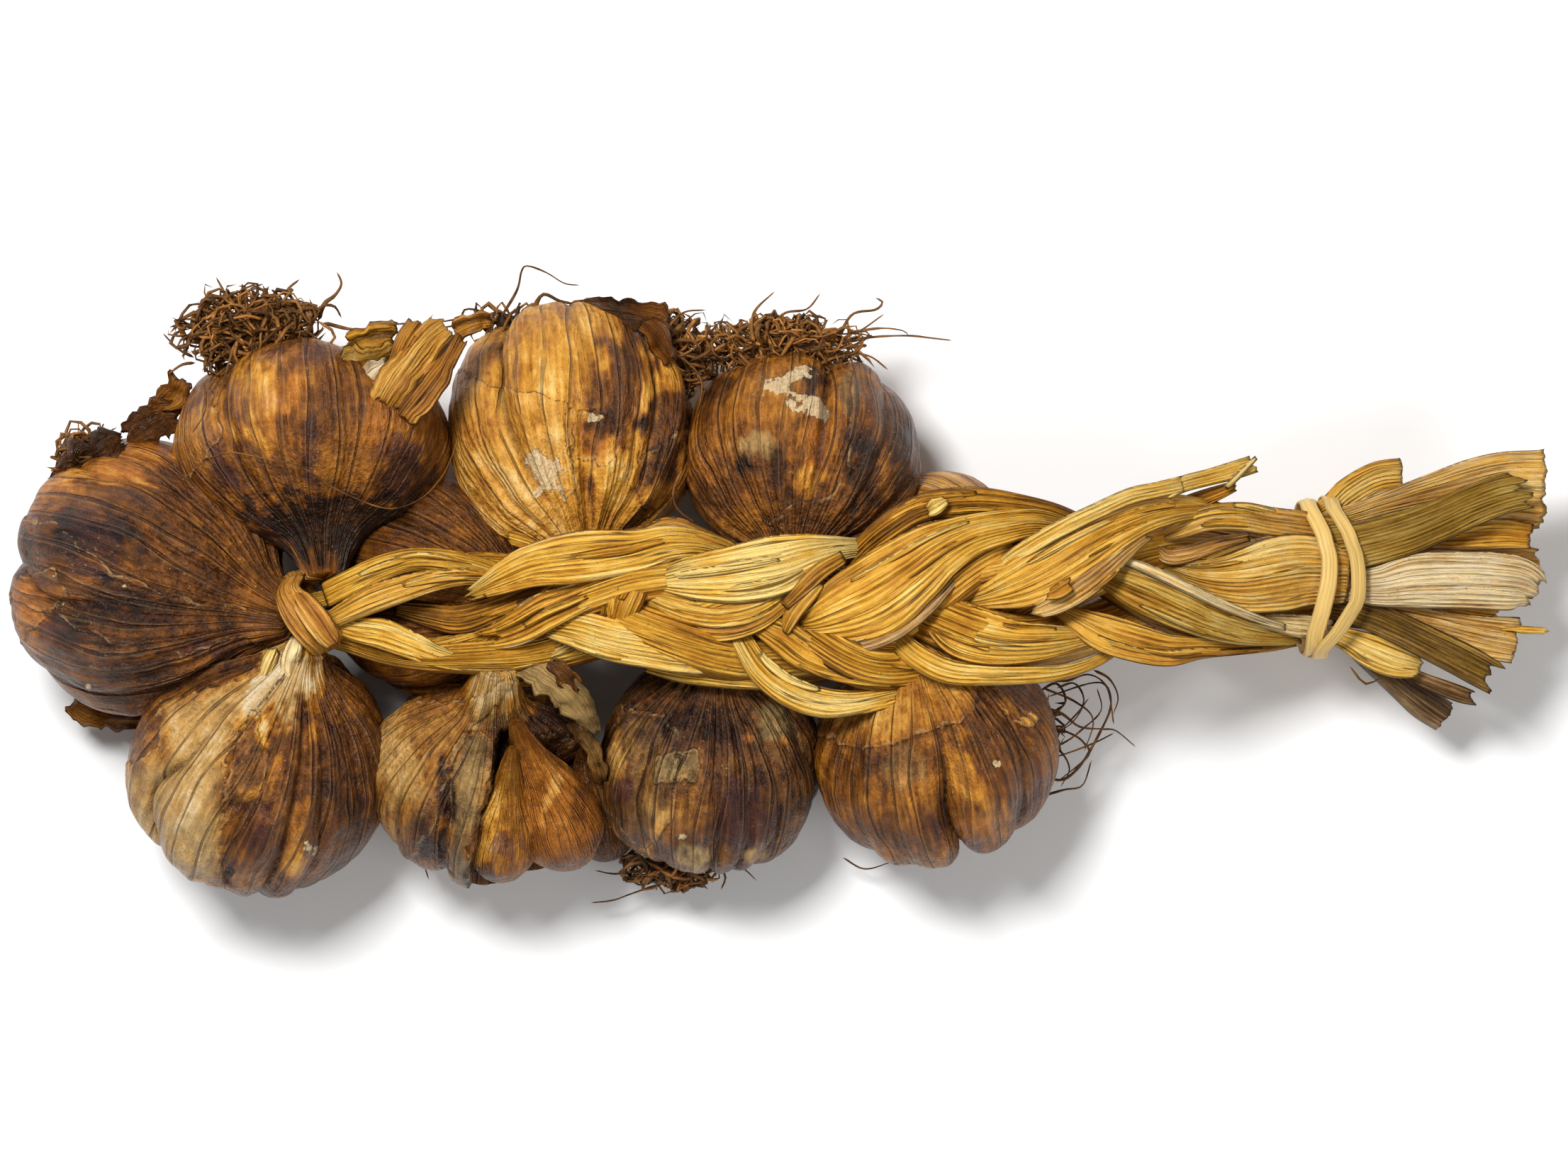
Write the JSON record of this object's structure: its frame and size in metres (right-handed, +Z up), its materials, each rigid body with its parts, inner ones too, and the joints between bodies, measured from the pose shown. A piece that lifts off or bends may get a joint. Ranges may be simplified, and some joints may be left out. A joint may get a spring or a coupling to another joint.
{
  "type": "garlic braid",
  "caption": "Lying braid of smoke-dried garlic: brown papery bulbs with root tufts along a plait of dried stalks, tied with raffia where cut leaf ends fan out.",
  "frame": {"origin": "on the table, under the middle of the whole outline", "axes": "+X along the plait from the bulbs to the cut leaf ends, +Z up from the table"},
  "size_m": [0.3374, 0.1344, 0.0638],
  "materials": {
    "bulb_skin": "glossy dry skin, brown and golden, veined",
    "clove_skin": "glossy dry skin",
    "stalk": "dry ribbed stalk, satin",
    "leaf": "dry ribbed leaf, matte",
    "torn_skin": "thin crumpled skin, matte",
    "raffia": "straw-yellow strip, satin",
    "roots": "dry wiry fibres"
  },
  "bodies": {
    "root": {"raffia_tie": "raffia", "wrapped_stalk": "stalk", "strand_1": "stalk", "strand_2": "stalk", "strand_3": "stalk", "leaf_olive": "leaf", "leaf_pale": "leaf", "leaf_top": "leaf", "leaf_dark": "leaf", "leaf_curl": "leaf", "leaf_brown": "leaf", "leaf_tan": "leaf", "leaf_slate": "leaf", "leaf_stub": "leaf", "leaf_end": "leaf", "leaf_wide": "leaf", "leaf_low": "leaf", "leaf_under": "leaf", "stalk_end": "leaf", "stalk_tip": "stalk", "cut_stalk": "stalk", "neck_stub": "stalk", "side_stub": "stalk", "clove_1": "clove_skin", "clove_2": "clove_skin", "clove_3": "clove_skin", "bulb_2": "bulb_skin", "bulb_1": "bulb_skin", "bulb_5": "bulb_skin", "bulb_3": "bulb_skin", "bulb_4": "bulb_skin", "bulb_6": "bulb_skin", "bulb_7": "bulb_skin", "bulb_8": "bulb_skin", "bulb_9": "bulb_skin", "bulb_10": "bulb_skin", "skin_curl": "torn_skin", "skin_strip": "torn_skin", "skin_crown": "torn_skin", "skin_heel": "torn_skin", "skin_cheek": "torn_skin", "roots_1": "roots", "roots_2": "roots", "roots_3": "roots", "roots_3b": "roots", "roots_4": "roots", "roots_7": "roots", "roots_8": "roots"}
  },
  "joints": []
}
